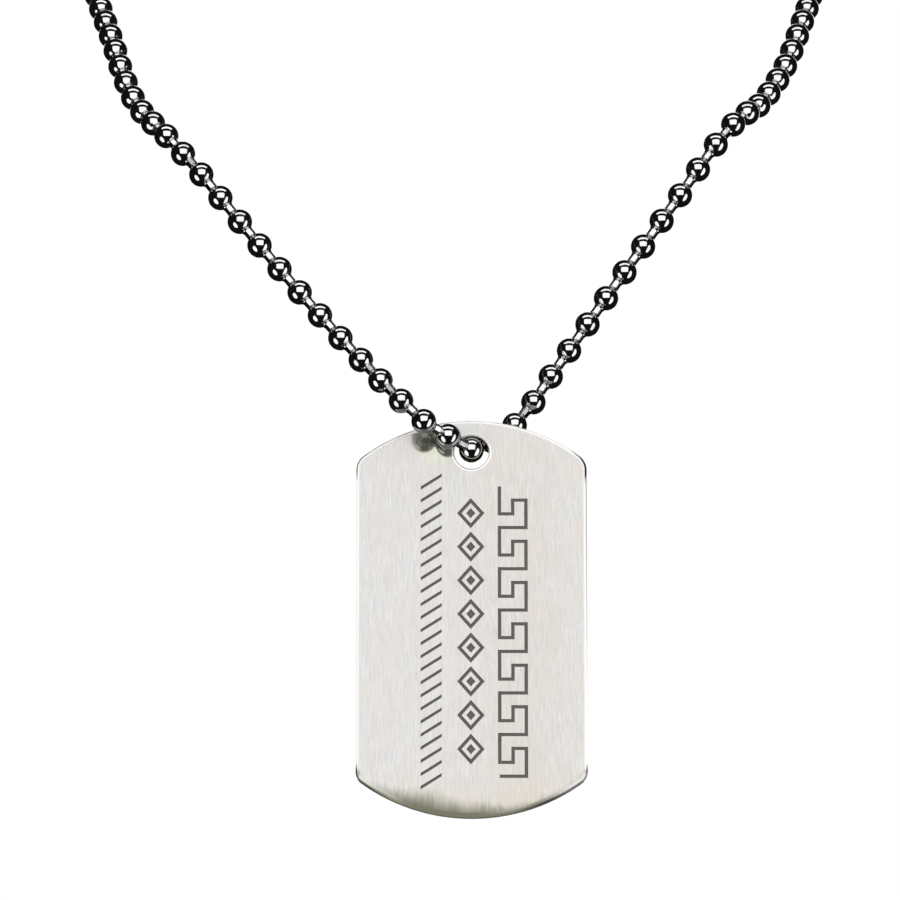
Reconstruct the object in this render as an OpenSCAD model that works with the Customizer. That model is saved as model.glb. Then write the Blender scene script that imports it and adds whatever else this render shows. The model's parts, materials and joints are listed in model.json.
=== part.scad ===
// Identification tag on a ball chain: a bevelled steel plate, hung by its hole
// from one ball of a closed necklace of hollow balls and dumbbell links.
// Frame: +Z up, the tag's engraved face looks along -Y, and the origin is the
// middle of the connector at the nape. Millimetres.

/* [Tag] */
// Width of the tag
tag_w = 28.6; // [25:0.1:33]
// Height of the tag, from the top of its upper arc to the bottom of its lower one
tag_h = 50.8; // [45:0.2:56]
// Thickness of the tag
tag_t = 1.4; // [1.2:0.1:2]
// Radius of the upper end's arc
top_arc_r = 22.1; // [20:0.1:30]
// Radius of the lower end's arc
bottom_arc_r = 22.9; // [20:0.1:30]
// Radius of the two upper corners
top_corner_r = 2.4; // [1:0.1:4]
// Radius of the two lower corners
bottom_corner_r = 1.7; // [1:0.1:4]
// Width of the polished bevel, seen from the front
edge_bevel_w = 0.5; // [0.2:0.05:0.8]
// Depth of the polished bevel, from the face into the edge
edge_bevel_h = 0.35; // [0.1:0.05:0.5]
// Distance from the top of the tag down to the centre of its hole
hole_drop = 4.1; // [3.4:0.1:5]
// Room between a ball and the hole all round it, which sets the hole's width
hole_room = 0.55; // [0.4:0.05:0.8]
// Size of the bevel round the hole
hole_bevel = 0.2; // [0.05:0.05:0.3]

/* [Engraving] */
// Depth of the engraved ornament
engrave_depth = 0.12; // [0.05:0.01:0.3]
// Width of an engraved line
line_w = 0.42; // [0.3:0.02:0.5]
// How far the middle of the bands lies below the middle of the tag
band_drop = 1.7; // [0:0.1:3]
// Place of the key band, to the right of the middle
key_x = 5.1; // [4.6:0.1:6]
// Width of the key band
key_w = 3.7; // [3:0.1:4.2]
// Length of the key band
key_len = 37.5; // [24:0.5:39]
// Number of turns in the key band
key_turns = 7; // [4:1:9]
// Place of the lozenge band, to the left of the middle
lozenge_x = 0.1; // [0:0.1:0.5]
// Width of the lozenge band
lozenge_w = 3.4; // [2.4:0.1:3.8]
// Length of the lozenge band
lozenge_len = 34.5; // [24:0.5:39]
// Number of lozenges
lozenge_count = 8; // [5:1:10]
// Place of the rope band, to the left of the middle
rope_x = 5.0; // [4.4:0.1:6]
// Width of the rope band
rope_w = 2.6; // [1.8:0.1:3]
// Length of the rope band
rope_len = 40; // [24:0.5:41]
// Number of strokes in the rope band
rope_count = 24; // [12:1:28]

/* [Chain] */
// Diameter of a ball
ball_d = 3.2; // [3:0.05:3.4]
// Wall of a hollow ball
ball_wall = 0.25; // [0.2:0.01:0.3]
// Gap between two balls where the chain is drawn tight
ball_gap = 0.95; // [0.8:0.05:1.2]
// How much closer the balls of the left front strand lie
left_slack = 0.12; // [0:0.02:0.4]
// Diameter of a link's shank
shank_d = 1.15; // [1:0.05:1.2]
// Room between a shank and the opening that it leaves a ball by
shank_room = 0.11; // [0.1:0.01:0.14]
// Thickness of the heads that hold a link in two balls
head_t = 0.3; // [0.2:0.02:0.34]
// Distance from a ball's centre to the head in it, where the chain is tight
head_seat = 0.58; // [0.54:0.01:0.6]
// Room between such a head and the inside of its ball
head_room = 0.13; // [0.12:0.01:0.16]

/* [Hanging] */
// Gap between the ball that carries the tag and the top of the hole
hang_gap = 0.1; // [0.1:0.01:0.15]
// Gap between the tag's faces and the balls on both sides of them
plate_gap = 0.3; // [0.12:0.01:0.5]
// Rise of the chain from the hole to the left, seen from the front, in degrees
left_rise = 20; // [12:1:36]
// Rise of the chain from the hole to the right, seen from the front, in degrees
right_rise = 36; // [24:1:46]

/* [Connector] */
// Wall of the connector
connector_wall = 0.3; // [0.25:0.05:0.5]
// Room between a ball and the inside of the connector
connector_room = 0.15; // [0.12:0.01:0.3]
// Gap between the two end balls in the connector
end_ball_gap = 1.1; // [0.8:0.1:2]
// Room on both sides of a shank that slides in by the connector's slot
slot_room = 0.12; // [0.1:0.01:0.2]

/* [Hidden] */
$fn = 48;
MARGIN = 1;
CORNER_KINK = 6;

ball_r = ball_d / 2;
cavity_r = ball_r - ball_wall;
pitch = ball_d + ball_gap;
left_pitch = pitch - left_slack;
opening_r = shank_d / 2 + shank_room;
link_len = pitch - 2 * head_seat;
head_r = sqrt(pow(cavity_r - head_room, 2) - pow(head_seat + head_t, 2));
hole_r = ball_r + hole_room;

// Route of the chain, in millimetres from the ball that carries the tag: the
// points of each side in the order in which the chain passes them. The first
// FRONT_POINTS of them belong to the strand that hangs in front.
FRONT_POINTS = 7;
LEFT_ROUTE = [
    [-5.6, -4.8, 2.1], [-8.5, -4.3, 4.9], [-14, -1.9, 11.4], [-22, -0.2, 21.1],
    [-29.5, 0.7, 30.6], [-34.5, 1.6, 37.2], [-38.4, 4.3, 42.4],
    [-41.5, 9.6, 47.1], [-46.5, 24.5, 63], [-50.5, 44, 80], [-51.5, 68, 93.5],
    [-48, 95, 103.5], [-39.5, 120, 109.3], [-23.5, 139.5, 112]
];
RIGHT_ROUTE = [
    [5.8, 4.5, 4.9], [9.4, 5.7, 10.4], [17.4, 6.2, 22.3], [27.3, 6.9, 36.8],
    [30.8, 7.4, 42.1], [33.6, 9.4, 46], [36.6, 15, 49.9],
    [39.6, 21.5, 56], [43, 32, 67], [46, 48, 80.5], [46.5, 72, 94],
    [43, 99, 103.8], [34.5, 123.5, 109.8], [19.5, 140.5, 112.2]
];
NAPE = [-2.5, 145, 112.5];
ROUTE_STEPS = 16;

// The first ball on each side of the tag lies just clear of its face
function beside_tag(side, rise, step) =
    let (away = tag_t / 2 + ball_r + plate_gap)
    let (along = sqrt(step * step - away * away))
    [side * along * cos(rise), side * away, along * sin(rise)];

// The two balls in the connector lie on its axis, one on each side of the nape
function end_ball(side) = NAPE + [side * (ball_d + end_ball_gap) / 2, 0, 0];

// A smooth curve through the points p
function last(v) = v[len(v) - 1];
function unit(v) = v / norm(v);
function tangent(p, i) =
    i == 0 ? unit(p[1] - p[0])
    : i == len(p) - 1 ? unit(p[i] - p[i - 1])
    : let (before = norm(p[i] - p[i - 1]), after = norm(p[i + 1] - p[i]))
      (unit(p[i] - p[i - 1]) * after + unit(p[i + 1] - p[i]) * before) / (before + after);
function between(p, i, u) =
    let (reach = norm(p[i + 1] - p[i]))
    p[i] * (2 * u * u * u - 3 * u * u + 1)
    + p[i + 1] * (3 * u * u - 2 * u * u * u)
    + tangent(p, i) * reach * (u * u * u - 2 * u * u + u)
    + tangent(p, i + 1) * reach * (u * u * u - u * u);
function curve(p, first, final) = [
    for (i = [first:final - 1], k = [0:ROUTE_STEPS - 1]) between(p, i, k / ROUTE_STEPS),
    p[final]
];

// Evenly spaced points along the polyline q, about step apart
function lengths(q) = [
    for (i = 0, s = 0; i < len(q); i = i + 1, s = i < len(q) ? s + norm(q[i] - q[i - 1]) : s) s
];
function along(q, s, at) = [
    for (axis = [0:2]) lookup(at, [for (i = [0:len(q) - 1]) [s[i], q[i][axis]]])
];
function spaced(q, step) =
    let (s = lengths(q), count = round(last(s) / step))
    [for (i = [0:count]) along(q, s, last(s) * i / count)];
function without_first(v) = [for (i = [1:len(v) - 1]) v[i]];
function reversed(v) = [for (i = [len(v) - 1:-1:0]) v[i]];

// Ball centres of one side, from beside the tag to the connector
function strand(side, rise, route, step) =
    let (p = concat([beside_tag(side, rise, step)], route, [end_ball(side)]))
    concat(
        spaced(curve(p, 0, FRONT_POINTS), step),
        without_first(spaced(curve(p, FRONT_POINTS, len(p) - 1), pitch))
    );

// All ball centres, from the left end in the connector to the right end in it
left_balls = strand(-1, left_rise, LEFT_ROUTE, left_pitch);
right_balls = strand(1, right_rise, RIGHT_ROUTE, pitch);
string = [for (p = concat(reversed(left_balls), [[0, 0, 0]], right_balls)) p - NAPE];
carrier = -NAPE;

// Turns children from +Z to the direction of v
module toward(v) {
    rotate([0, acos(v.z / norm(v)), atan2(v.y, v.x)]) children();
}

// Opening in a ball or a wall, from a ball's centre towards the next ball
module opening(from, to) {
    translate(from) toward(to - from) cylinder(h = ball_r + MARGIN, r = opening_r);
}

// A hollow ball, open towards the balls before and after it. Its poles lie
// across the chain, clear of the openings.
module hollow_ball(i) {
    before = string[max(i - 1, 0)];
    after = string[min(i + 1, len(string) - 1)];
    difference() {
        translate(string[i]) toward(after - before) rotate([90, 0, 0]) difference() {
            sphere(r = ball_r);
            sphere(r = cavity_r);
        }
        if (i > 0) opening(string[i], before);
        if (i < len(string) - 1) opening(string[i], after);
    }
}

module chain_balls() {
    color("#2c2b2e") for (i = [0:len(string) - 1]) hollow_ball(i);
}

// A dumbbell: a shank with a flat head at each end, centred on the origin
module dumbbell() {
    cylinder(h = link_len - head_t, d = shank_d, center = true);
    for (end = [-1, 1])
        translate([0, 0, end * (link_len - head_t) / 2])
            cylinder(h = head_t, r = head_r, center = true);
}

module chain_links() {
    color("#39383b") for (i = [0:len(string) - 2])
        translate((string[i] + string[i + 1]) / 2)
            toward(string[i + 1] - string[i]) dumbbell();
}

// Outer side of a section with bevelled edges, then half of it from the axis
// out, and the whole of it
function bevelled_side(r, half_h, bevel_w, bevel_h) = [
    [r - bevel_w, -half_h], [r, bevel_h - half_h],
    [r, half_h - bevel_h], [r - bevel_w, half_h]
];
function half_section(side) = concat([[0, side[0].y]], side, [[0, last(side).y]]);
function whole_section(side) = concat(side, [for (p = reversed(side)) [-p.x, p.y]]);

connector_cavity_r = ball_r + connector_room;
connector_r = connector_cavity_r + connector_wall;
connector_cavity_len = ball_d + end_ball_gap + 2 * connector_cavity_r;
connector_len = connector_cavity_len + 2 * connector_wall;
slot_w = shank_d + 2 * slot_room;

// A barrel with a slot and an entry hole on its underside
module connector() {
    end_bevel = connector_wall * 0.8;
    color("#2c2b2e") difference() {
        rotate([0, 90, 0]) rotate_extrude()
            polygon(half_section(bevelled_side(connector_r, connector_len / 2, end_bevel, end_bevel)));
        rotate([0, 90, 0]) cylinder(h = connector_cavity_len, r = connector_cavity_r, center = true);
        translate([-connector_len / 2 - MARGIN, -slot_w / 2, -connector_r - MARGIN])
            cube([connector_len + 2 * MARGIN, slot_w, connector_r + MARGIN]);
        translate([0, 0, -connector_r - MARGIN])
            cylinder(h = connector_r + MARGIN, r = connector_cavity_r);
        opening(string[0], string[1]);
        opening(last(string), string[len(string) - 2]);
    }
}

// The tag is drawn lying down, with its middle on the origin and its front up
top_arc_y = tag_h / 2 - top_arc_r;
bottom_arc_y = bottom_arc_r - tag_h / 2;
hole_y = tag_h / 2 - hole_drop;

function tag_side(r) = bevelled_side(r, tag_t / 2, edge_bevel_w, edge_bevel_h);

module bevelled_disc(r) {
    rotate_extrude() polygon(half_section(tag_side(r)));
}

module bevelled_slab() {
    rotate([90, 0, 0]) linear_extrude(tag_h + 2 * MARGIN, center = true)
        polygon(whole_section(tag_side(tag_w / 2)));
}

// What is cut from an end whose arc has its centre on the origin
module end_waste(arc_r) {
    difference() {
        translate([-tag_w / 2 - MARGIN, 0, -tag_t / 2 - MARGIN])
            cube([tag_w + 2 * MARGIN, arc_r + 2 * MARGIN, tag_t + 2 * MARGIN]);
        bevelled_disc(arc_r);
    }
}

// What is cut from that end's right corner: a sector outside the corner's own
// arc, which crosses the edges beside it at the angle CORNER_KINK
module corner_waste(arc_r, corner_r) {
    reach_2 = arc_r * arc_r + corner_r * corner_r - 2 * arc_r * corner_r * cos(CORNER_KINK);
    x = tag_w / 2 - corner_r * cos(CORNER_KINK);
    y = sqrt(reach_2 - x * x);
    far = 3 * corner_r;
    translate([x, y, 0]) difference() {
        linear_extrude(tag_t + 2 * MARGIN, center = true)
            polygon([[0, 0], [far, 0], [far, far], [x, y] * far / norm([x, y])]);
        bevelled_disc(corner_r);
    }
}

module tag_end_waste(arc_r, corner_r) {
    end_waste(arc_r);
    for (side = [0, 1]) mirror([side, 0, 0]) corner_waste(arc_r, corner_r);
}

module tag_blank() {
    difference() {
        bevelled_slab();
        translate([0, top_arc_y, 0]) tag_end_waste(top_arc_r, top_corner_r);
        translate([0, bottom_arc_y, 0]) mirror([0, 1, 0])
            tag_end_waste(bottom_arc_r, bottom_corner_r);
    }
}

// The hole with its two bevels
module tag_hole() {
    cylinder(h = tag_t + 2 * MARGIN, r = hole_r, center = true);
    for (face = [0, 1]) mirror([0, 0, face])
        translate([0, 0, tag_t / 2 - hole_bevel])
            cylinder(h = hole_bevel + MARGIN, r1 = hole_r, r2 = hole_r + hole_bevel + MARGIN);
}

// Outline of a line of square turns through the points p, of width w
function left_of(v) = [-v.y, v.x];
function line_side(p, w) =
    let (n = [for (i = [0:len(p) - 2]) left_of(unit(p[i + 1] - p[i])) * w / 2])
    [for (i = [0:len(p) - 1]) p[i] + (i > 0 ? n[i - 1] : [0, 0]) + (i < len(p) - 1 ? n[i] : [0, 0])];
function line_outline(p, w) = concat(line_side(p, w), line_side(reversed(p), w));

// A running key along Y: each turn climbs, crosses, hooks back and steps on
KEY_TURN = [[0, 0], [4, 0], [4, 4], [2, 4], [2, 2], [0, 2]];
KEY_STEP = 6;
module key_band() {
    across = (key_w - line_w) / 4;
    step = (key_len - line_w) / (key_turns * KEY_STEP);
    path = concat(
        [for (turn = [0:key_turns - 1], p = KEY_TURN)
            [p.x * across - key_w / 2, (p.y + turn * KEY_STEP) * step - key_len / 2]
            + [line_w, line_w] / 2],
        [[line_w - key_w, key_len - line_w] / 2]
    );
    polygon(line_outline(path, line_w));
}

// Lozenges in line, each with a smaller solid one inside it
module lozenge(w, h) {
    polygon([[w / 2, 0], [0, h / 2], [-w / 2, 0], [0, -h / 2]]);
}

module lozenge_band() {
    step = lozenge_len / lozenge_count;
    h = step - line_w;
    frame = 2 * line_w * norm([lozenge_w, h]) / h;
    inner = (lozenge_w - frame) / lozenge_w;
    for (i = [0:lozenge_count - 1]) translate([0, (i + 0.5) * step - lozenge_len / 2]) {
        difference() {
            lozenge(lozenge_w, h);
            lozenge(lozenge_w * inner, h * inner);
        }
        lozenge(lozenge_w * inner / 2, h * inner / 2);
    }
}

// Slanted strokes, one above the other
module rope_band() {
    step = rope_len / rope_count;
    slant = step / 2;
    for (i = [0:rope_count - 1]) translate([0, (i + 0.5) * step - rope_len / 2])
        polygon([
            [-rope_w / 2, -slant - line_w / 2], [rope_w / 2, slant - line_w / 2],
            [rope_w / 2, slant + line_w / 2], [-rope_w / 2, -slant + line_w / 2]
        ]);
}

module engraving() {
    translate([0, -band_drop, tag_t / 2 - engrave_depth]) linear_extrude(engrave_depth + MARGIN) {
        translate([key_x, 0]) key_band();
        translate([-lozenge_x, 0]) lozenge_band();
        translate([-rope_x, 0]) rope_band();
    }
}

module tag() {
    hole_from_ball = [0, 0, -(hole_r - ball_r - hang_gap)];
    color("#dcdad5") translate(carrier + hole_from_ball) rotate([90, 0, 0])
        translate([0, -hole_y, 0]) difference() {
            tag_blank();
            translate([0, hole_y, 0]) tag_hole();
            engraving();
        }
}

tag();
chain_balls();
chain_links();
connector();
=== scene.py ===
"""Looks of an identification tag on its ball chain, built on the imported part.

Places in the frame are in metres: +Z up, the tag's engraved face towards -Y, and the origin at
the nape. Sizes of the tag, its marks, the chain and the camera are in millimetres, and MM turns
them into metres. Those of the lamps and the floor are in metres.
"""

import json
import math

import bmesh
import bpy
import numpy as np
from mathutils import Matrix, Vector


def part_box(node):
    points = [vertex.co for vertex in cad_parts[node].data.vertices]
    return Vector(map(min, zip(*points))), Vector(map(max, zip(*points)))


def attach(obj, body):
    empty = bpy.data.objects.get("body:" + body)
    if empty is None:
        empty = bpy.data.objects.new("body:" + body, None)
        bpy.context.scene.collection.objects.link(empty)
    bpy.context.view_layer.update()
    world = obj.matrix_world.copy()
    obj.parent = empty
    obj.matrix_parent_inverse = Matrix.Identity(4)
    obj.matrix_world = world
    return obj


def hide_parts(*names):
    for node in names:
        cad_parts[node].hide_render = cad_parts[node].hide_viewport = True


MM = 0.001

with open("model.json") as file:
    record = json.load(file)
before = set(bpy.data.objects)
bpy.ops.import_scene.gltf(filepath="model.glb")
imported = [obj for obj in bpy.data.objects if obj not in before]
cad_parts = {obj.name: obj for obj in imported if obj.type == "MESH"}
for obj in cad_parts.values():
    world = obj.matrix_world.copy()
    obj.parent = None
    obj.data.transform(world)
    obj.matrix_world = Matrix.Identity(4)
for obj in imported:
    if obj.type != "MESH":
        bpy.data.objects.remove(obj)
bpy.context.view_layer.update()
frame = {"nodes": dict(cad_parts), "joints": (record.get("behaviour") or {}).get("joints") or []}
nodes = frame["nodes"]


# Places in the frame

HINGE = Vector(frame["joints"][0]["pos_m"])
TAG_LOW, TAG_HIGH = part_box("tag")
TAG_MIDDLE = (TAG_LOW + TAG_HIGH) / 2


# Sizes of the tag, with places from its middle

TAG_HALF_H = (TAG_HIGH.z - TAG_LOW.z) / 2 / MM
LOW_ARC_R = 22.9
LOW_ARC_Z = LOW_ARC_R - TAG_HALF_H
HOLE_R = 2.15
HINGE_OVER_HOLE = 0.45
HOLE_Z = (HINGE.z - TAG_MIDDLE.z) / MM - HINGE_OVER_HOLE
BANDS_MIDDLE_Z = -1.7
# Middle of the patch below the chain's balls, rubbed smoother and painted olive-dark as the balls'
# reflection
RUBBED_PAINTED_REFLECTION_X, RUBBED_PAINTED_REFLECTION_Z = -4.6, 22.1


# Sizes of the balls, whose openings are flared to short necks

BALL_R = 1.6
CAVITY_R = 1.35
NECK_R = 0.69
NECK_WALL = 0.04
NECK_INSIDE = 0.12
BALL_AROUND = 32

# How far a neck ends short of halfway to the next ball, and the same for the ball in the hole
NECK_GAP = 0.43
CARRIER_NECK_GAP = 0.62

# Degrees from the pole, for the rings of the outer skin and of the cavity
SKIN_FROM = 83
SKIN_RINGS = 6
FLARE_LEAVES = (25.0, 60.0)
CLOSED_SKIN = (82, 74, 66, 58, 50, 42, 33, 24, 16, 8, 0)
CLOSED_CAVITY = (0, 9, 20, 33, 47, 65)

# Shares of the flare's turn, and the radius and height of two rings inside an opening
FLARE_SHARES = (0.82, 0.64, 0.47, 0.30, 0.15, 0)
OPEN_CAVITY = [(0.80, 1.10), (1.17, 0.67)]

# The share of a ball's radius, along its axis, from which its skin turns fully with the opening
TURNS_FULLY_AT = 0.78

# A way that no ball's axis has, from which the start of its rings is worked out
SEAM_WAY = (0.31, 0.87, 0.38)


# Sizes of the dumbbell links, each a shank with one flat, painted bright as a highlight, and a head
# inside each ball

SHANK_R = 0.64
SHANK_HALF = 0.62
ROOT_R = 0.605
HEAD_R = 0.845
HEAD_T = 0.3
HEAD_FROM_BALL = 0.58
LINK_AROUND = 48

# How far a shank's flat lies from its axis, and the way that the flats face
FLAT_AT = 0.575
FLAT_FACES = (0.01, -1.0, -0.03)

# Radius and distance from the link's end, from the head to where the shank begins
HEAD_SECTION = [
    (0, 0), (HEAD_R - 0.08, 0), (HEAD_R, 0.08), (HEAD_R, HEAD_T - 0.06),
    (HEAD_R - 0.1, HEAD_T), (ROOT_R, HEAD_T + 0.03), (SHANK_R, HEAD_T + 0.12),
]

# The mesh attribute that marks each link's painted highlight, and how many radians from the middle of
# its flat the painted highlight stays full, and ends
PAINTED_HIGHLIGHT = "painted_highlight"
PAINTED_HIGHLIGHT_FULL_TO, PAINTED_HIGHLIGHT_TO = 0.26, 0.50

# How near vertices are when they count as one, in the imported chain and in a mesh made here, and
# the sine of the angle below which two directions count as one
SAME_PLACE = 0.002
MERGED = 0.0002
SAME_WAY = 1e-9

# Rounds of working out where a ball's middle lies, and where its flare leaves the sphere
MIDDLE_ROUNDS = 3
FLARE_ROUNDS = 40


# Objects and nodes

# The whole stretch of a share, and the two ways in which one changes over a stretch
WHOLE = (0.0, 1.0)
RISES = (0.0, 1.0)
FALLS = (1.0, 0.0)

# A Mix node's colour inputs and output share their names with its other kinds, so they go by number
MIX_FACTOR, MIX_FIRST, MIX_SECOND, MIX_RESULT = 0, 6, 7, 2


def add_object(name, data):
    """A new object in the scene."""
    made = bpy.data.objects.new(name, data)
    bpy.context.scene.collection.objects.link(made)
    return made


def new_material(name):
    """A material, its node tree and its shader."""
    material = bpy.data.materials.new(name)
    material.use_nodes = True
    tree = material.node_tree
    return material, tree, tree.nodes["Principled BSDF"]


def feed(tree, target, values):
    """Feeds a node's inputs, by name or in order: a socket is linked, and anything else is set."""
    pairs = values.items() if isinstance(values, dict) else enumerate(values)
    for key, value in pairs:
        if isinstance(value, bpy.types.NodeSocket):
            tree.links.new(value, target.inputs[key])
        else:
            target.inputs[key].default_value = value
    return target


def node(tree, kind, values=(), **settings):
    """A node of that kind, with its settings, fed from values."""
    made = tree.nodes.new("ShaderNode" + kind)
    for name, setting in settings.items():
        setattr(made, name, setting)
    return feed(tree, made, values)


def math_of(tree, operation, *values):
    """One operation on sockets and numbers."""
    return node(tree, "Math", values, operation=operation).outputs[0]


def times(tree, first, *others):
    """The product of sockets and numbers."""
    for other in others:
        first = math_of(tree, "MULTIPLY", first, other)
    return first


def largest(tree, first, *others):
    """The largest of sockets and numbers."""
    for other in others:
        first = math_of(tree, "MAXIMUM", first, other)
    return first


def centred(tree, share):
    """A share from 0 to 1 as a number from -0.5 to 0.5."""
    return math_of(tree, "SUBTRACT", share, 0.5)


def squared_distance(tree, x, z, from_x, from_z):
    """The square of how far a point of the tag lies from a place on its face."""
    squares = [
        math_of(tree, "POWER", math_of(tree, "SUBTRACT", place, start), 2.0)
        for place, start in ((x, from_x), (z, from_z))
    ]
    return math_of(tree, "ADD", *squares)


def ramp_of(tree, value, stretch, ends=RISES, smooth=True):
    """From the first of ends to the second as value crosses the stretch, and level outside it."""
    values = {
        "Value": value,
        "From Min": stretch[0],
        "From Max": stretch[1],
        "To Min": ends[0],
        "To Max": ends[1],
    }
    way = "SMOOTHSTEP" if smooth else "LINEAR"
    return node(tree, "MapRange", values, interpolation_type=way).outputs["Result"]


def between(tree, share, start, end):
    """Evenly from start to end, as a share goes from 0 to 1."""
    return ramp_of(tree, share, WHOLE, (start, end), smooth=False)


def opaque(colour):
    """A plain colour with its fourth number; a socket stays as it is."""
    return colour if isinstance(colour, bpy.types.NodeSocket) else (*colour, 1)


def colour_mix(tree, factor, first, second, blend="MIX"):
    """The first colour, changed by the second as far as factor says."""
    values = {MIX_FACTOR: factor, MIX_FIRST: opaque(first), MIX_SECOND: opaque(second)}
    return node(tree, "Mix", values, data_type="RGBA", blend_type=blend).outputs[MIX_RESULT]


def noise_of(tree, place, detail, roughness):
    """Cloudy noise at a place, which is three sockets."""
    vector = node(tree, "CombineXYZ", place).outputs[0]
    values = {"Vector": vector, "Scale": 1.0, "Detail": detail, "Roughness": roughness}
    return node(tree, "TexNoise", values).outputs[0]


def bump_of(tree, height, strength, deep):
    """The normal of a fine relief, deep in millimetres."""
    values = {"Strength": strength, "Distance": deep * MM, "Height": height}
    return node(tree, "Bump", values).outputs[0]


def place_in_mm(tree, origin=(0.0, 0.0, 0.0)):
    """X, Y and Z from an origin in the frame, in millimetres."""
    apart = node(tree, "SeparateXYZ", [node(tree, "TexCoord").outputs["Object"]])
    return [
        times(tree, math_of(tree, "SUBTRACT", place, start), 1 / MM)
        for place, start in zip(apart.outputs, origin)
    ]


def group_tree(name, inputs, outputs):
    """A shader node group whose sockets are plain numbers, with its input and output nodes."""
    kind = "NodeSocketFloat"
    tree = bpy.data.node_groups.new(name, "ShaderNodeTree")
    for socket_name, default in inputs.items():
        socket = tree.interface.new_socket(name=socket_name, in_out="INPUT", socket_type=kind)
        socket.default_value = default
    for socket_name in outputs:
        tree.interface.new_socket(name=socket_name, in_out="OUTPUT", socket_type=kind)
    return tree, tree.nodes.new("NodeGroupInput"), tree.nodes.new("NodeGroupOutput")


def place_group(tree, group, values):
    """A node group placed in a material, with that material's own values."""
    made = tree.nodes.new("ShaderNodeGroup")
    made.node_tree = group
    return feed(tree, made, values)


# Camera

LOOKS_UP = math.radians(16)
CAMERA_FAR = 1200
CAMERA_SEES = (50, 20000)
SENSOR = 36

# The picture's width in pixels, the pixel column of the hinge, and a pixel's size there
PICTURE = 900
HINGE_COLUMN = 471.5
PIXEL_AT_HINGE = 0.1244


def camera_axes():
    """To the camera's right, up and towards it, for what it looks at."""
    up = Vector((0, -math.sin(LOOKS_UP), math.cos(LOOKS_UP)))
    toward = Vector((0, -math.cos(LOOKS_UP), -math.sin(LOOKS_UP)))
    return Vector((1, 0, 0)), up, toward


def place_camera():
    """Looks up at the tag from a little below, with the hinge at the picture's middle height."""
    right, up, toward = camera_axes()
    data = bpy.data.cameras.new("camera")
    data.sensor_width = SENSOR
    data.lens = SENSOR * CAMERA_FAR / (PIXEL_AT_HINGE * PICTURE)
    data.clip_start, data.clip_end = [far * MM for far in CAMERA_SEES]
    camera = add_object("camera", data)
    sideways = (PICTURE / 2 - HINGE_COLUMN) * PIXEL_AT_HINGE
    camera.location = HINGE + toward * CAMERA_FAR * MM + right * (sideways * MM)
    camera.rotation_euler = (math.pi / 2 + LOOKS_UP, 0, 0)
    bpy.context.scene.camera = camera


# Light and stage

WHITE = (1, 1, 1, 1)
SOFT_LIGHT = 0.75
DARK_MIRRORED = (0.012, 0.012, 0.010, 1)

FLOOR_PLACE = (0, -0.07, -3.2)
FLOOR_R = 14
FLOOR_SIDES = 96
FLOOR_LOOKS = {
    "Base Color": (0.93, 0.93, 0.92, 1),
    "Roughness": 0.9,
    "Emission Color": WHITE,
    "Emission Strength": 0.22,
}

LAMP_FAR = 0.55

# Each lamp's name, shape, way from the hinge in the camera's own axes, width and height in degrees
# as the hinge sees them, and radiance
LAMPS = [
    ("key_above", "RECTANGLE", (0.02, 0.48, 0.88), 62, 46, 2.4),
    ("fill_low_left", "ELLIPSE", (-0.70, -0.46, 0.55), 32, 50, 2.4),
    ("fill_right", "ELLIPSE", (0.78, -0.32, 0.55), 28, 66, 2.4),
    ("rim_over", "RECTANGLE", (0, 1, 0.09), 68, 18, 2.4),
    ("back_fill", "ELLIPSE", (0.10, 0.10, -0.98), 56, 56, 1.6),
]


def place_lamps():
    """Broad lamps round the hinge, whose power follows from their radiance and size."""
    right, up, toward = camera_axes()
    for name, shape, aim, wide, high, radiance in LAMPS:
        way = (right * aim[0] + up * aim[1] + toward * aim[2]).normalized()
        data = bpy.data.lights.new(name, "AREA")
        data.shape = shape
        data.size = 2 * LAMP_FAR * math.tan(math.radians(wide) / 2)
        data.size_y = 2 * LAMP_FAR * math.tan(math.radians(high) / 2)
        area = data.size * data.size_y * (math.pi / 4 if shape == "ELLIPSE" else 1)
        data.energy = radiance * math.pi * area
        lamp = add_object(name, data)
        lamp.location = HINGE + way * LAMP_FAR
        lamp.rotation_euler = way.to_track_quat("Z", "Y").to_euler()
        lamp.visible_camera = False


def background(tree, colour, strength=1.0):
    """The light of a world of one colour."""
    return node(tree, "Background", {"Color": colour, "Strength": strength}).outputs[0]


def make_world():
    """White behind the object, soft light from all sides, and little to mirror in the metal."""
    world = bpy.data.worlds.new("studio")
    bpy.context.scene.world = world
    world.use_nodes = True
    tree = world.node_tree
    tree.nodes.clear()
    rays = node(tree, "LightPath")
    shown = background(tree, WHITE)
    soft = background(tree, WHITE, SOFT_LIGHT)
    mirrored = background(tree, DARK_MIRRORED)
    lit = node(tree, "MixShader", (rays.outputs["Is Glossy Ray"], soft, mirrored)).outputs[0]
    seen = node(tree, "MixShader", (rays.outputs["Is Camera Ray"], lit, shown)).outputs[0]
    node(tree, "OutputWorld", {"Surface": seen})


def lay_floor():
    """A pale floor far below, which the metal doesn't mirror."""
    mesh = bpy.data.meshes.new("floor")
    bm = bmesh.new()
    bmesh.ops.create_circle(bm, cap_ends=True, radius=FLOOR_R, segments=FLOOR_SIDES)
    bm.to_mesh(mesh)
    bm.free()
    material, tree, shader = new_material("pale_floor")
    feed(tree, shader, FLOOR_LOOKS)
    mesh.materials.append(material)
    floor = add_object("floor", mesh)
    floor.location = FLOOR_PLACE
    floor.visible_glossy = False


# Shared effects

GRAIN_DETAIL, GRAIN_ROUGHNESS = 3.0, 0.65
BANDS_DETAIL, BANDS_ROUGHNESS = 2.0, 0.5
BANDS_ACROSS, BANDS_ALONG = 0.09, 0.35
BANDS_IN_HEIGHT = 0.3
NOISE_SPAN = (0.3, 0.7)

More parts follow.
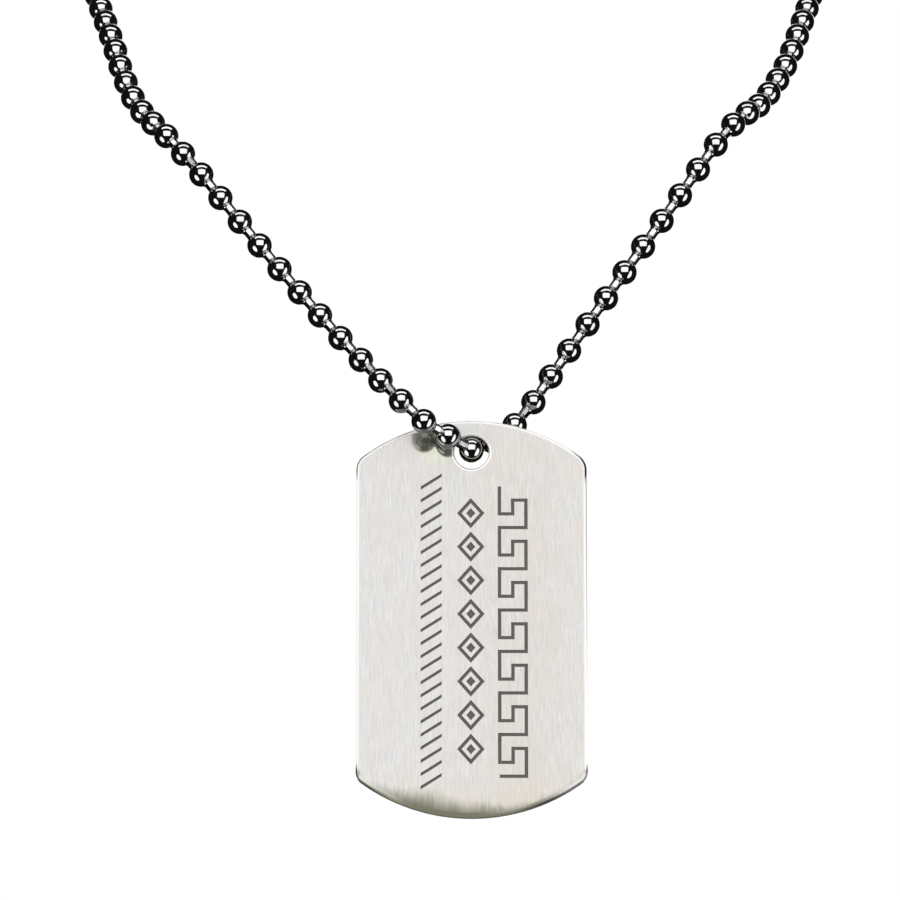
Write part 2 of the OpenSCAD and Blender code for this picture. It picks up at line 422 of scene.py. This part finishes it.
SMUDGE_DETAIL, SMUDGE_ROUGHNESS = 4.0, 0.6
SMUDGE_SPAN = (0.35, 0.68)
SCRATCH_TURN = (0.7, 0.4, 1.1)
SCRATCH_STRETCH = (1.0, 0.06, 0.5)
SCRATCH_WIDTH = 0.03
SCRATCHED_SPAN = (0.45, 0.62)


def make_brushed_grain():
    """Fine straight lines along the object's Z, as a brush leaves them, with broader bands."""
    tree, enter, leave = group_tree(
        "brushed_grain",
        {"Line Width": 0.08, "Line Length": 6.0, "Contrast": 1.0},
        ["Lines", "Bands", "Height"],
    )
    x, through, z = place_in_mm(tree)
    across = math_of(tree, "DIVIDE", x, enter.outputs["Line Width"])
    along = math_of(tree, "DIVIDE", z, enter.outputs["Line Length"])
    fine = noise_of(tree, (across, through, along), GRAIN_DETAIL, GRAIN_ROUGHNESS)
    broad_place = (times(tree, across, BANDS_ACROSS), through, times(tree, along, BANDS_ALONG))
    broad = noise_of(tree, broad_place, BANDS_DETAIL, BANDS_ROUGHNESS)
    lines = ramp_of(tree, fine, NOISE_SPAN, smooth=False)
    bands = ramp_of(tree, broad, NOISE_SPAN)
    contrast = enter.outputs["Contrast"]
    feed(tree, leave, {
        "Lines": math_of(tree, "MULTIPLY_ADD", centred(tree, lines), contrast, 0.5),
        "Bands": bands,
        "Height": math_of(tree, "MULTIPLY_ADD", centred(tree, bands), BANDS_IN_HEIGHT, lines),
    })
    return tree


def make_handling_marks():
    """Smudges and fine scratches that polished steel picks up in use."""
    tree, enter, leave = group_tree(
        "handling_marks",
        {"Smudge Size": 1.5, "Scratch Spacing": 0.8},
        ["Smudges", "Scratches"],
    )
    place = node(tree, "TexCoord").outputs["Object"]
    in_mm = node(tree, "VectorMath", {"Vector": place, "Scale": 1 / MM}, operation="SCALE").outputs[0]
    cloudy = node(tree, "TexNoise", {
        "Vector": in_mm,
        "Scale": math_of(tree, "DIVIDE", 1.0, enter.outputs["Smudge Size"]),
        "Detail": SMUDGE_DETAIL,
        "Roughness": SMUDGE_ROUGHNESS,
    }).outputs[0]
    turned_place = {"Vector": in_mm, "Rotation": SCRATCH_TURN}
    turned = node(tree, "VectorRotate", turned_place, rotation_type="EULER_XYZ").outputs[0]
    stretched = node(tree, "VectorMath", (turned, SCRATCH_STRETCH), operation="MULTIPLY").outputs[0]
    cells = node(tree, "TexVoronoi", {
        "Vector": stretched,
        "Scale": math_of(tree, "DIVIDE", 1.0, enter.outputs["Scratch Spacing"]),
    }, feature="DISTANCE_TO_EDGE")
    thin = ramp_of(tree, cells.outputs["Distance"], (0.0, SCRATCH_WIDTH), FALLS)
    feed(tree, leave, {
        "Smudges": ramp_of(tree, cloudy, SMUDGE_SPAN),
        "Scratches": times(tree, thin, ramp_of(tree, cloudy, SCRATCHED_SPAN)),
    })
    return tree


# Steel of the chain

GUNMETAL_TINT = (0.46, 0.455, 0.46)
# The links are painted dark on their sides as painted shade, and near-white and less metallic on
# their flats as a painted highlight
LINK_PAINTED_SHADE_TINT = (0.10, 0.10, 0.10)
PAINTED_HIGHLIGHT_TINT = (0.80, 0.79, 0.78)
PAINTED_HIGHLIGHT_METAL = 0.55
CHAIN_SCRATCH_SPACING = 0.7
SMUDGES_DARKEN = 0.86
SMUDGES_ROUGHEN = 0.05
SCRATCHES_ROUGHEN = 0.08
SCRATCH_STRENGTH, SCRATCH_DEEP = 0.05, 0.01


def gunmetal(name, handling, tint, roughness, smudge_size, painted_highlight_tint=None):
    """Polished dark steel of the chain, with hard highlights and faint handling marks.

    With a painted highlight tint, the metal is painted near-white and less metallic where its mesh
    marks the painted highlight, as on the links' flats.
    """
    material, tree, shader = new_material(name)
    values = {"Smudge Size": smudge_size, "Scratch Spacing": CHAIN_SCRATCH_SPACING}
    handled = place_group(tree, handling, values)
    smudges, scratches = handled.outputs["Smudges"], handled.outputs["Scratches"]
    colour = colour_mix(tree, smudges, tint, [SMUDGES_DARKEN * share for share in tint])
    metal = 1.0
    # Painted highlight: near-white and less metallic where the mesh marks it
    if painted_highlight_tint:
        painted_highlight = node(tree, "Attribute", attribute_name=PAINTED_HIGHLIGHT).outputs["Fac"]
        colour = colour_mix(tree, painted_highlight, colour, painted_highlight_tint)
        metal = between(tree, painted_highlight, 1.0, PAINTED_HIGHLIGHT_METAL)
    rough = between(tree, smudges, roughness, roughness + SMUDGES_ROUGHEN)
    rough = math_of(tree, "MULTIPLY_ADD", scratches, SCRATCHES_ROUGHEN, rough)
    normal = bump_of(tree, scratches, SCRATCH_STRENGTH, SCRATCH_DEEP)
    feed(tree, shader, {
        "Base Color": colour, "Metallic": metal, "Roughness": rough, "Normal": normal,
    })
    return material


# Marks on the tag's steel. A mark is a product of ramps. Each ramp says along which of
# tag_measures() it runs, over what stretch, and from what share to what share.

LEVEL = ("facing", (0.97, 0.995), RISES)
LOW_END = ("z", (-18.5, -17.0), FALLS)
LOW_CORNER = ("z", (-19.4, -18.2), FALLS)
HIGH_END = ("z", (17.0, 19.0), RISES)
LOW_BEVEL = ("from_low_arc", (0.7, 1.2), FALLS)
LOW_RIM = ("depth", (0.19, 0.25), RISES)
HIGH_RIM = ("depth", (0.23, 0.28), RISES)
SIDE_RIM = ("depth", (0.23, 0.29), RISES)

# The brushed faces are flat, and a ring round the lower side of the hole is painted near-white as the
# bevels are, as their painted reflection
FLAT = [
    [LEVEL, ("from_hole", (HOLE_R + 0.25, HOLE_R + 0.34), RISES)],
    [LEVEL, ("z", (HOLE_Z, HOLE_Z + 1.3), (0.0, 0.9))],
]
BACK = [("depth", (1.2, 1.3), RISES)]
FRONT_BEVEL = [("depth", (0.95, 1.05), FALLS)]
# The hole's wall is painted olive-dark, and a thin line round its rim dark, as painted reflection
HOLE_WALL = [("from_hole", (HOLE_R + 0.05, HOLE_R + 0.12), FALLS), ("facing", (0.3, 0.4), FALLS)]
HOLE_LINE = [
    ("from_hole", (HOLE_R + 0.07, HOLE_R + 0.11), FALLS), ("smudges", (0.1, 0.9), (0.6, 1.0)),
]

# Inside the three bands, whatever lies below the face is engraved
ENGRAVED = [
    ("aside", (7.6, 7.8), FALLS), ("from_bands", (20.6, 20.8), FALLS),
    ("depth", (0.02, 0.05), RISES), ("depth", (0.25, 0.3), FALLS),
]

# Below the chain's balls the face is rubbed smoother and more metallic, and painted olive-dark as a
# painted reflection of the balls, over a stretch in square millimetres
RUBBED_PAINTED_REFLECTION = [("squared_from_rubbed_painted_reflection", (0.5, 11.0), FALLS)]

# The lower end darkens towards its edge, in brush strokes, as a painted dark reflection. It reaches
# in from the edge, less far at the left, and farthest round SWELL_X.
PAINTED_LOW_REFLECTION = [LOW_END, ("x", (3.0, 8.0), (1.0, 0.3)), ("x", (-12.5, -8.0), (0.25, 1.0))]
PAINTED_LOW_REFLECTION_FROM = 0.1
PAINTED_LOW_REFLECTION_REACH_X, PAINTED_LOW_REFLECTION_REACH = (-11.0, -4.0), (0.6, 1.25)
SWELL_X, SWELL_WIDTH = -4.5, 6.2
SWELL_REACH = 2.2
STROKES_BY_LINES, STROKES_BY_BANDS = 0.35, 0.5

# The bevel of the lower end is painted with a dark reflection along its rim, and towards both sides
# less so farther in
DARK_BEVEL =[("x", (-13.6, -11.0), RISES), ("x", (8.0, 13.0), FALLS), LOW_END]
DARK_BEVEL_EDGE = (0.1, 0.55)
DARK_BEVEL_INSIDE = [("x", (0.0, 7.0), (1.0, 0.45)), ("x", (-12.0, -7.0), (0.3, 1.0))]

# A thin dark line, a painted dark reflection, runs along parts of the front bevel's rim
RIM_LINES = {
    "lower left": [LOW_RIM, LOW_CORNER, ("x", (-13.2, -8.5), (0.95, 0.0))],
    "lower right": [LOW_RIM, LOW_CORNER, ("x", (4.5, 10.0), (0.0, 0.85))],
    "left side": [SIDE_RIM, ("x", (-14.1, -13.8), (0.12, 0.0))],
    "right side": [SIDE_RIM, ("x", (13.8, 14.1), RISES), ("z", (-19.0, 17.0), (0.0, 0.65))],
    "upper end": [HIGH_RIM, HIGH_END, ("smudges", (0.1, 0.9), (0.25, 0.8))],
    "upper corners": [HIGH_RIM, HIGH_END, ("aside", (11.5, 13.2), RISES)],
    "upper right": [
        ("depth", (0.15, 0.20), RISES), ("x", (12.7, 13.8), RISES), ("z", (16.9, 18.5), RISES),
    ],
}


# Tints of the tag's steel. A layer is a mark with the tint that it gives.

FACE_TINTS = (0.323, 0.317, 0.309), (0.426, 0.418, 0.407)
BACK_TINTS = (0.56, 0.55, 0.54), (0.78, 0.77, 0.76)
# The bevels are painted near-white and kept little metallic, as a painted reflection, darker where
# they meet the face
BEVEL_PAINTED_REFLECTION_TINTS = (0.70, 0.695, 0.68), (0.90, 0.90, 0.885)
COOL_AND_WARM = (0.985, 1.0, 1.015), (1.015, 0.99, 0.975)
# Olive-dark painted reflection of the chain's balls on the face below them
PAINTED_BALL_REFLECTION_TINT = (0.30, 0.315, 0.20)
# Olive-dark painted reflection along the lower end
PAINTED_LOW_REFLECTION_TINT = (0.085, 0.086, 0.056)
# Olive-dark painted reflection on the lower end's bevel
BEVEL_PAINTED_DARK_REFLECTION_TINT = (0.17, 0.17, 0.125)
# Painted dark reflection line along the bevel's rim
RIM_PAINTED_DARK_REFLECTION = (0.015, 0.015, 0.012)
# Painted dark reflection on the hole's rim and, olive-dark, on its wall
HOLE_LINE_PAINTED_REFLECTION = (0.06, 0.06, 0.05)
HOLE_WALL_PAINTED_REFLECTION = (0.10, 0.105, 0.05)
ENGRAVED_TINT = (0.075, 0.069, 0.062)
PAINTED_BALL_REFLECTION_SHARE = 0.38
BEVEL_SLOPE = [("depth", (0.02, 0.2), RISES)]

FACE_CLOUDS = [
    ([("bands", WHOLE, (0.0, 0.35))], (0.356, 0.348, 0.338)),
    ([("smudges", WHOLE, (0.0, 0.12))], (0.351, 0.336, 0.309)),
]
WARM_RIGHT = [("x", (-4.0, 6.0), (0.0, 0.75)), ("x", (8.0, 12.5), (1.0, 0.35))]
WARM_LOW = [
    ("stroke", (0.8, 4.5), FALLS), ("z", (-16.0, -13.0), FALLS), ("aside", (6.0, 12.5), (1.0, 0.2)),
]
FACE_WARMTH = [(WARM_RIGHT, (0.965, 0.94, 0.905)), (WARM_LOW, (1.0, 0.975, 0.90))]
# Greyer patches on the lower end's bevel, as a dimmer painted reflection
BEVEL_PAINTED_DIM_REFLECTION = [
    ([("x", (-11.0, -7.0), FALLS), LOW_BEVEL, LOW_END], (0.42, 0.42, 0.36)),
    ([("x", (4.0, 9.0), (0.0, 0.85)), LOW_BEVEL, LOW_END], (0.37, 0.365, 0.345)),
]

BEVEL_METAL, FACE_METAL, RUBBED_METAL = 0.25, 0.42, 0.88
BACK_METAL_SHARE, ENGRAVED_METAL_SHARE = 0.66, 0.2
FACE_ROUGH = (0.13, 0.20)
RUBBED_ROUGH_SHARE = 0.7
BACK_ROUGH, ENGRAVED_ROUGH = 0.34, 0.75
GRAIN_STRENGTH, GRAIN_DEEP = 0.10, 0.004
TAG_GRAIN = {"Line Width": 0.16, "Line Length": 1.8, "Contrast": 1.0}
TAG_HANDLING = {"Smudge Size": 5.0, "Scratch Spacing": 4.0}


def tag_measures(tree, grain, handling):
    """What the tag's marks run along: places in millimetres, the way a face looks, and patterns."""
    x, depth, z = place_in_mm(tree, (TAG_MIDDLE.x, TAG_LOW.y, TAG_MIDDLE.z))
    normal = node(tree, "SeparateXYZ", [node(tree, "NewGeometry").outputs["True Normal"]])
    brushed = place_group(tree, grain, TAG_GRAIN)
    handled = place_group(tree, handling, TAG_HANDLING)
    lines, bands = brushed.outputs["Lines"], brushed.outputs["Bands"]
    from_arc_middle = math_of(tree, "SQRT", squared_distance(tree, x, z, 0.0, LOW_ARC_Z))
    from_low_arc = math_of(tree, "SUBTRACT", LOW_ARC_R, from_arc_middle)
    stroke = math_of(tree, "MULTIPLY_ADD", centred(tree, lines), STROKES_BY_LINES, from_low_arc)
    stroke = math_of(tree, "MULTIPLY_ADD", centred(tree, bands), STROKES_BY_BANDS, stroke)
    return {
        "x": x,
        "aside": math_of(tree, "ABSOLUTE", x),
        "z": z,
        "depth": depth,
        "facing": math_of(tree, "ABSOLUTE", normal.outputs["Y"]),
        "from_bands": math_of(tree, "ABSOLUTE", math_of(tree, "SUBTRACT", z, BANDS_MIDDLE_Z)),
        "from_hole": math_of(tree, "SQRT", squared_distance(tree, x, z, 0.0, HOLE_Z)),
        "squared_from_rubbed_painted_reflection": squared_distance(tree, x, z, RUBBED_PAINTED_REFLECTION_X, RUBBED_PAINTED_REFLECTION_Z),
        "from_low_arc": from_low_arc,
        "stroke": stroke,
        "lines": lines,
        "bands": bands,
        "relief": brushed.outputs["Height"],
        "smudges": handled.outputs["Smudges"],
    }


def mark(tree, at, ramps):
    """How strong a mark is, from 0 to 1."""
    shares = [ramp_of(tree, at[along], stretch, ends) for along, stretch, ends in ramps]
    return times(tree, *shares)


def strongest(tree, at, marks):
    """The strongest of several marks."""
    return largest(tree, *[mark(tree, at, ramps) for ramps in marks])


def layered(tree, at, colour, layers, blend="MIX"):
    """A colour with each layer's tint laid over it where its mark is."""
    for ramps, tint in layers:
        colour = colour_mix(tree, mark(tree, at, ramps), colour, tint, blend)
    return colour


def painted_low_reflection(tree, at):
    """Painted dark reflection of the lower end, whose reach swells round SWELL_X as a bell curve
    does.
    """
    off_swell = math_of(tree, "SUBTRACT", at["x"], SWELL_X)
    off_swell = math_of(tree, "DIVIDE", off_swell, SWELL_WIDTH)
    squared = math_of(tree, "POWER", off_swell, 2.0)
    swell = math_of(tree, "EXPONENT", times(tree, squared, -1.0))
    reach = ramp_of(tree, at["x"], PAINTED_LOW_REFLECTION_REACH_X, PAINTED_LOW_REFLECTION_REACH)
    reach = math_of(tree, "MULTIPLY_ADD", swell, SWELL_REACH, reach)
    return mark(tree, at, [("stroke", (PAINTED_LOW_REFLECTION_FROM, reach), FALLS), *PAINTED_LOW_REFLECTION])


def face_colour(tree, at, rubbed_painted_reflection, back):
    """The brushed faces, with warmer and cooler strokes, the painted reflection of the chain's balls
    on the rubbed patch, and the painted dark reflection along the lower end.
    """
    colour = colour_mix(tree, at["lines"], *FACE_TINTS)
    colour = layered(tree, at, colour, FACE_CLOUDS)
    colour = layered(tree, at, colour, FACE_WARMTH, blend="MULTIPLY")
    cool_or_warm = colour_mix(tree, at["bands"], *COOL_AND_WARM)
    colour = colour_mix(tree, 1.0, colour, cool_or_warm, blend="MULTIPLY")
    # Painted reflection of the chain's balls, olive-dark on the rubbed patch below them
    colour = colour_mix(tree, times(tree, rubbed_painted_reflection, PAINTED_BALL_REFLECTION_SHARE), colour, PAINTED_BALL_REFLECTION_TINT)
    # Painted dark reflection along the lower end, in brush strokes
    colour = colour_mix(tree, painted_low_reflection(tree, at), colour, PAINTED_LOW_REFLECTION_TINT)
    return colour_mix(tree, back, colour, colour_mix(tree, at["lines"], *BACK_TINTS))


def bevel_painted_reflection(tree, at):
    """The bevels, painted near-white as their reflection, dimmer and painted dark at the lower end,
    with a thin painted dark reflection line along the rim.
    """
    inside = mark(tree, at, DARK_BEVEL_INSIDE)
    dark = mark(tree, at, [*DARK_BEVEL, ("from_low_arc", DARK_BEVEL_EDGE, (1.0, inside))])
    rim = strongest(tree, at, RIM_LINES.values())
    rim = times(tree, rim, mark(tree, at, FRONT_BEVEL))
    colour = colour_mix(tree, mark(tree, at, BEVEL_SLOPE), *BEVEL_PAINTED_REFLECTION_TINTS)
    # Dimmer and dark painted reflection on the lower end's bevel
    colour = layered(tree, at, colour, BEVEL_PAINTED_DIM_REFLECTION)
    colour = colour_mix(tree, dark, colour, BEVEL_PAINTED_DARK_REFLECTION_TINT)
    # Thin painted dark reflection line along parts of the front bevel's rim
    return colour_mix(tree, rim, colour, RIM_PAINTED_DARK_REFLECTION)


def tag_steel(grain, handling):
    """Brushed steel with bevels painted near-white as their reflection, a darkened engraving and a
    painted dark reflection along the lower end.
    """
    material, tree, shader = new_material("brushed_tag_steel")
    at = tag_measures(tree, grain, handling)
    flat = strongest(tree, at, FLAT)
    back = mark(tree, at, BACK)
    wall = mark(tree, at, HOLE_WALL)
    rubbed_painted_reflection = mark(tree, at, RUBBED_PAINTED_REFLECTION)
    engraved = mark(tree, at, ENGRAVED)

    face = face_colour(tree, at, rubbed_painted_reflection, back)
    # Off the flat faces, the bevels and the ring round the hole take the bevels' painted reflection
    colour = colour_mix(tree, flat, bevel_painted_reflection(tree, at), face)
    # Painted dark reflection round the hole's rim and on its wall
    colour = colour_mix(tree, mark(tree, at, HOLE_LINE), colour, HOLE_LINE_PAINTED_REFLECTION)
    colour = colour_mix(tree, wall, colour, HOLE_WALL_PAINTED_REFLECTION)
    colour = colour_mix(tree, engraved, colour, ENGRAVED_TINT)

    face_metal = between(tree, rubbed_painted_reflection, FACE_METAL, RUBBED_METAL)
    metal = between(tree, flat, BEVEL_METAL, face_metal)
    metal = times(tree, metal, between(tree, back, 1.0, BACK_METAL_SHARE))
    metal = largest(tree, metal, wall)
    metal = times(tree, metal, between(tree, engraved, 1.0, ENGRAVED_METAL_SHARE))

    rough = between(tree, at["lines"], *FACE_ROUGH)
    rough = times(tree, rough, between(tree, rubbed_painted_reflection, 1.0, RUBBED_ROUGH_SHARE))
    rough = largest(tree, rough, times(tree, back, BACK_ROUGH), times(tree, engraved, ENGRAVED_ROUGH))

    normal = bump_of(tree, times(tree, at["relief"], flat), GRAIN_STRENGTH, GRAIN_DEEP)
    feed(tree, shader, {
        "Base Color": colour, "Metallic": metal, "Roughness": rough, "Normal": normal,
    })
    return material


def dress(piece, material):
    """Gives a piece one material in place of what it had."""
    piece.data.materials.clear()
    piece.data.materials.append(material)


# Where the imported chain's balls lie


def islands(mesh):
    """Vertex places of each loose part, welded where its faces' corners coincide."""
    places = np.empty(len(mesh.vertices) * 3)
    mesh.vertices.foreach_get("co", places)
    places = places.reshape(-1, 3)
    keys = np.round(places / (SAME_PLACE * MM)).astype(np.int64)
    keys, first, same = np.unique(keys, axis=0, return_index=True, return_inverse=True)
    edges = np.empty(len(mesh.edges) * 2, np.int64)
    mesh.edges.foreach_get("vertices", edges)
    starts, ends = same.ravel()[edges.reshape(-1, 2)].T
    label = np.arange(len(keys))
    while True:
        before = label.copy()
        lower = np.minimum(label[starts], label[ends])
        np.minimum.at(label, starts, lower)
        np.minimum.at(label, ends, lower)
        label = label[label]
        if (label == before).all():
            break
    welded = places[first]
    return [welded[label == part] for part in np.unique(label)]


def ball_middle(points):
    """Middle of a hollow ball, from the places on its outer and inner skins."""
    between_skins = (BALL_R + CAVITY_R) / 2 * MM
    middle = (points.min(0) + points.max(0)) / 2
    for _ in range(MIDDLE_ROUNDS):
        outer = np.linalg.norm(points - middle, axis=1) > between_skins
        unknowns = np.c_[2 * points, outer, ~outer]
        middle = np.linalg.lstsq(unknowns, (points**2).sum(1), rcond=None)[0][:3]
    return middle


def string_of_balls(mesh):
    """Middles of the chain's balls in order, from the left one at the nape."""
    middles = np.array([ball_middle(points) for points in islands(mesh)])
    ends = np.argsort(np.linalg.norm(middles, axis=1))[:2]
    left_end, right_end = sorted(ends, key=lambda i: middles[i][0])
    order, left = [left_end], set(range(len(middles))) - {left_end, right_end}
    while left:
        here = middles[order[-1]]
        order.append(min(left, key=lambda i: np.linalg.norm(middles[i] - here)))
        left.discard(order[-1])
    order.append(right_end)
    return middles[order]


# Turned pieces


def direction(start, end):
    """The way from start to end, of length 1."""
    way = end - start
    return way / np.linalg.norm(way)


def ring_angles(around):
    """The angles of a ring's points, in radians."""
    return np.linspace(0, 2 * math.pi, around, endpoint=False)


def turned_points(section, around, axes, radius_at=lambda angle, radius: radius):
    """Rings of points, one for each radius and height of the section, about the last of axes."""
    side, other, axis = axes
    angles = ring_angles(around)
    outwards = [math.cos(angle) * side + math.sin(angle) * other for angle in angles]
    return np.array([
        [radius_at(angle, radius) * out + height * axis for angle, out in zip(angles, outwards)]
        for radius, height in section
    ])


def ring_faces(rings, around, closed_loop):
    """Quads between rings, each of around points; the last ring meets the first in a closed loop."""
    faces = []
    for i in range(rings if closed_loop else rings - 1):
        here, after = i * around, (i + 1) % rings * around
        for k in range(around):
            beside = (k + 1) % around
            faces.append((here + k, here + beside, after + beside, after + k))
    return faces


def join_turned(name, shells, around, closed_loop, painted_highlight_ring=None):
    """One smooth piece from the points of many turned shells.

    The last argument says how strongly each point of a ring takes the painted highlight, and the mesh
    keeps it.
    """
    faces, start = [], 0
    for shell in shells:
        for face in ring_faces(len(shell) // around, around, closed_loop):
            faces.append(tuple(start + corner for corner in face))
        start += len(shell)
    mesh = bpy.data.meshes.new(name)
    mesh.from_pydata([tuple(point) for point in np.vstack(shells)], [], faces)
    if painted_highlight_ring is not None:
        marked = mesh.attributes.new(PAINTED_HIGHLIGHT, "FLOAT", "POINT")
        marked.data.foreach_set("value", np.tile(painted_highlight_ring, start // around))
    bm = bmesh.new()
    bm.from_mesh(mesh)
    bmesh.ops.remove_doubles(bm, verts=bm.verts, dist=MERGED * MM)
    bmesh.ops.recalc_face_normals(bm, faces=bm.faces)
    bm.to_mesh(mesh)
    bm.free()
    mesh.polygons.foreach_set("use_smooth", [True] * len(mesh.polygons))
    return add_object(name, mesh)


# Balls


def on_sphere(radius, degrees):
    """Radius and height of rings on a sphere, at those degrees from its pole."""
    return [(radius * math.sin(angle), radius * math.cos(angle)) for angle in np.radians(degrees)]


def flare_to(neck_at):
    """Where the skin leaves the sphere to end in a neck at that height, and the flare's radius."""
    low, high = FLARE_LEAVES
    for _ in range(FLARE_ROUNDS):
        degrees = (low + high) / 2
        angle = math.radians(degrees)
        radius = (BALL_R * math.sin(angle) - NECK_R) / (1 - math.sin(angle))
        if (BALL_R + radius) * math.cos(angle) < neck_at:
            low = degrees
        else:
            high = degrees
    return degrees, radius


def half_ball(neck_at):
    """Section of half a ball, from the outer equator over its neck to the inner equator.

    Without a neck, the half is closed.
    """
    if neck_at is None:
        return on_sphere(BALL_R, CLOSED_SKIN) + on_sphere(CAVITY_R, CLOSED_CAVITY)
    leaves_at, radius = flare_to(neck_at)
    skin = on_sphere(BALL_R, np.linspace(SKIN_FROM, leaves_at, SKIN_RINGS))
    turns = [math.radians(90 - leaves_at) * share for share in FLARE_SHARES]
    flare = [
        (NECK_R + radius * (1 - math.cos(turn)), neck_at - radius * math.sin(turn))
        for turn in turns
    ]
    inner = NECK_R - NECK_WALL
    neck = [(inner, neck_at), (inner, neck_at - NECK_INSIDE)]
    return skin + flare + neck + OPEN_CAVITY


def neck_end(middle, other, gap):
    """How far from a ball's middle its neck ends, when the next ball is at other."""
    return None if other is None else np.linalg.norm(other - middle) / 2 / MM - gap


def turn_between(start, end):
    """Axis and angle of the turn from one direction to another, or no turn where they are one."""
    axis = np.cross(start, end)
    size = np.linalg.norm(axis)
    if size < SAME_WAY:
        return start, 0.0
    return axis / size, math.atan2(size, np.dot(start, end))


def turned(points, axis, angle):
    """Points turned by an angle about an axis of length 1."""
    cos, sin = math.cos(angle), math.sin(angle)
    return points * cos + np.cross(axis, points) * sin + np.outer(points @ axis, axis) * (1 - cos)


def ball_shell(middle, before, after, gap):
    """A ball whose two flared openings look at the balls beside it; an end ball has one.

    Its skin turns with the openings, more and more from the equator outwards.
    """
    to_after = -direction(middle, before) if after is None else direction(middle, after)
    to_before = -to_after if before is None else direction(middle, before)
    axis = direction(to_before, to_after)
    side = np.cross(axis, SEAM_WAY)
    side /= np.linalg.norm(side)
    ahead = half_ball(neck_end(middle, after, gap))
    behind = half_ball(neck_end(middle, before, gap))
    section = [(BALL_R, 0), *ahead, (CAVITY_R, 0)]
    section += [(radius, -height) for radius, height in reversed(behind)]
    rings = turned_points(section, BALL_AROUND, (side, np.cross(axis, side), axis))
    turn_ahead, turn_behind = turn_between(axis, to_after), turn_between(axis, -to_before)
    for i, (radius, height) in enumerate(section):
        share = min(abs(height) / math.hypot(radius, height) / TURNS_FULLY_AT, 1)
        share = share * share * (3 - 2 * share)
        turn_axis, angle = turn_ahead if height >= 0 else turn_behind
        rings[i] = turned(rings[i], turn_axis, angle * share)
    return rings.reshape(-1, 3) * MM + middle


def build_balls(name, string, first, last, carrier):
    """The shells of the balls first to last of the string, as one piece.

    The carrier is the ball in the tag's hole. Its necks are shorter, clear of the hole's edge.
    """
    beside = [None, *string, None]
    shells = []
    for i in range(first, last + 1):
        gap = CARRIER_NECK_GAP if i == carrier else NECK_GAP
        shells.append(ball_shell(string[i], beside[i], beside[i + 2], gap))
    return join_turned(name, shells, BALL_AROUND, closed_loop=True)


# Links


def flattened(angle, radius):
    """Radius of a link's section at an angle: its shank has one flat, and its heads are round."""
    across = radius * math.cos(angle)
    if radius > SHANK_R or across < FLAT_AT:
        return radius
    return radius * FLAT_AT / across


def link_between(one, other):
    """A dumbbell link between the middles of two balls: a shank with a head inside each."""
    end = np.linalg.norm(other - one) / 2 / MM - HEAD_FROM_BALL
    half = [(radius, along - end) for radius, along in HEAD_SECTION]
    half += [(SHANK_R, -SHANK_HALF), (SHANK_R, 0.0)]
    section = half + [(radius, -along) for radius, along in reversed(half[:-1])]
    axis = direction(one, other)
    side = np.array(FLAT_FACES) - np.dot(FLAT_FACES, axis) * axis
    side /= np.linalg.norm(side)
    rings = turned_points(section, LINK_AROUND, (side, np.cross(axis, side), axis), flattened)
    return rings.reshape(-1, 3) * MM + (one + other) / 2


def build_links(string):
    """The links of the whole chain as one piece, whose flats are marked for a painted highlight."""
    shells = [link_between(one, other) for one, other in zip(string[:-1], string[1:])]
    # The painted highlight is full in the middle of each link's flat and fades out towards its edges
    facing = np.cos(ring_angles(LINK_AROUND))
    none, full = math.cos(PAINTED_HIGHLIGHT_TO), math.cos(PAINTED_HIGHLIGHT_FULL_TO)
    painted_highlight_ring = np.clip((facing - none) / (full - none), 0, 1)
    return join_turned("links", shells, LINK_AROUND, closed_loop=False, painted_highlight_ring=painted_highlight_ring)


# The whole

place_camera()
make_world()
place_lamps()
lay_floor()

grain = make_brushed_grain()
handling = make_handling_marks()
ball_steel = gunmetal(
    "polished_gunmetal", handling, GUNMETAL_TINT, roughness=0.06, smudge_size=1.2
)
link_steel = gunmetal(
    "link_steel_painted_highlight", handling, LINK_PAINTED_SHADE_TINT, roughness=0.10, smudge_size=0.9, painted_highlight_tint=PAINTED_HIGHLIGHT_TINT
)
clasp_steel = gunmetal(
    "polished_gunmetal_clasp", handling, GUNMETAL_TINT, roughness=0.12, smudge_size=2.5
)

dress(nodes["tag"], tag_steel(grain, handling))
dress(nodes["connector"], clasp_steel)

string = string_of_balls(nodes["chain_balls"].data)
carrier = int(np.argmin(np.linalg.norm(string - np.array(HINGE), axis=1)))
for name, first, last in (
    ("balls_left", 0, carrier), ("balls_right", carrier + 1, len(string) - 1),
):
    balls = build_balls(name, string, first, last, carrier)
    dress(balls, ball_steel)
    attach(balls, "chain")
    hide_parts("chain_balls")
links = build_links(string)
dress(links, link_steel)
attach(links, "chain")
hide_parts("chain_links")

view = bpy.context.scene.view_settings
view.view_transform = "Standard"
view.look = "None"
view.exposure = 0
view.gamma = 1
